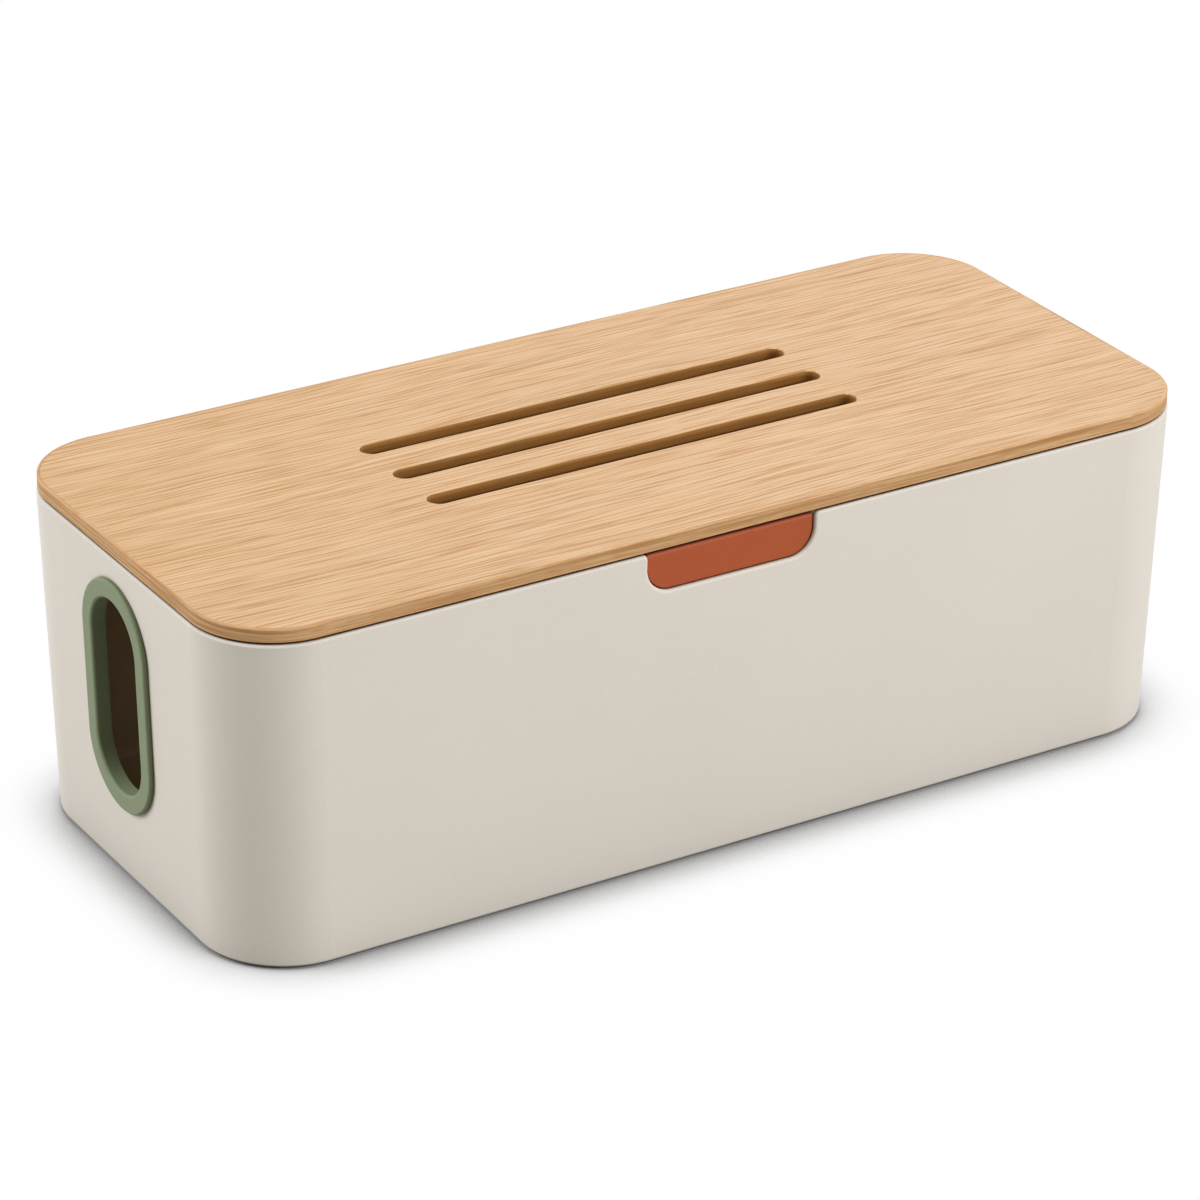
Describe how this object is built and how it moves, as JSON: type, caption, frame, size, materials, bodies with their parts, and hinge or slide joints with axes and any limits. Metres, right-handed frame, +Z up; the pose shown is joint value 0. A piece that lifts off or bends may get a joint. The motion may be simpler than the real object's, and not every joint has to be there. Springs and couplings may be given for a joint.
{
  "type": "cable management box",
  "caption": "Long round-cornered plastic box with a flat oak lift-off lid with vent slots, oval cable ports in both ends and a press tab under the front rim.",
  "frame": {"origin": "bottom centre of the box, on the plane that its feet stand on", "axes": "+X along the box, +Z up, and the wall with the press tab faces -Y"},
  "size_m": [0.4036, 0.176, 0.1326],
  "materials": {
    "box_plastic": "fine matte moulded polypropylene",
    "grommet_silicone": "matte silicone, sage green",
    "tab_plastic": "matte moulded plastic, terracotta",
    "sled_plastic": "natural acetal",
    "oak_face": "rift-sawn oak under matte lacquer",
    "oak_edge": "oak edge band under matte lacquer",
    "foot_rubber": "matte",
    "strike_steel": "zinc-plated sheet",
    "screw_steel": "zinc-plated",
    "spring_steel": "drawn wire",
    "magnet_nickel": "nickel plated"
  },
  "bodies": {
    "box": {"box_shell": "box_plastic", "cable_grommet_left": "grommet_silicone", "cable_grommet_right": "grommet_silicone", "foot_front_left": "foot_rubber", "foot_front_right": "foot_rubber", "foot_rear_left": "foot_rubber", "foot_rear_right": "foot_rubber", "lid_bumper_front_left": "foot_rubber", "lid_bumper_front_right": "foot_rubber", "lid_bumper_rear_left": "foot_rubber", "lid_bumper_rear_right": "foot_rubber", "latch_housing": "box_plastic", "latch_housing_screws": "screw_steel", "latch_spring_left": "spring_steel", "latch_spring_right": "spring_steel"},
    "lid": {"lid_board": "oak_face", "lid_edge_band": "oak_edge", "lid_frame": "box_plastic", "lid_frame_screws": "screw_steel", "lid_catch_pad": "box_plastic", "lid_strike": "strike_steel", "lid_strike_screws": "screw_steel"},
    "latch": {"latch_tab": "tab_plastic", "latch_sled": "sled_plastic", "latch_magnet_left": "magnet_nickel", "latch_magnet_right": "magnet_nickel"}
  },
  "joints": [
    {"name": "lid_lift", "type": "slide", "parent": "box", "child": "lid", "axis": [0, 0, 1], "range_m": [0, 0.12]},
    {"name": "tab_press", "type": "slide", "parent": "box", "child": "latch", "axis": [0, 1, 0], "range_m": [0, 0.004], "stiffness_N_per_m": 800, "springref_m": -0.004, "deforming": ["latch_spring_left", "latch_spring_right"]}
  ]
}
